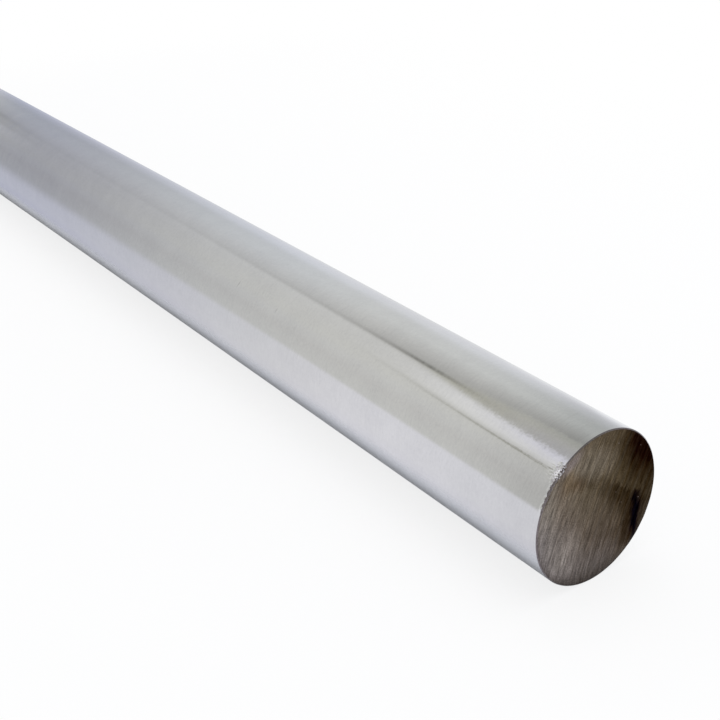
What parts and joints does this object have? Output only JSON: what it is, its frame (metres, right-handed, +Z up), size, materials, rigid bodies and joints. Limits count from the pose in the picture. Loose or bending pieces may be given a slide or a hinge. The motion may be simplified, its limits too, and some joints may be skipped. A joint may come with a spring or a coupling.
{
  "type": "linear shaft",
  "caption": "Solid ground steel shaft for linear bearings: a straight round bar, sawn square at both ends, with a light break on the rims.",
  "frame": {"origin": "on the shaft's axis, half way along its length", "axes": "+X along the axis towards the sawn end that the picture shows, +Z up from the floor that the shaft lies on"},
  "size_m": [0.3, 0.025, 0.025],
  "materials": {
    "ground_steel": "ground around the axis and plated with thin hard chrome; sawn bare steel on the two ends"
  },
  "bodies": {
    "root": {"shaft": "ground_steel"}
  },
  "joints": []
}
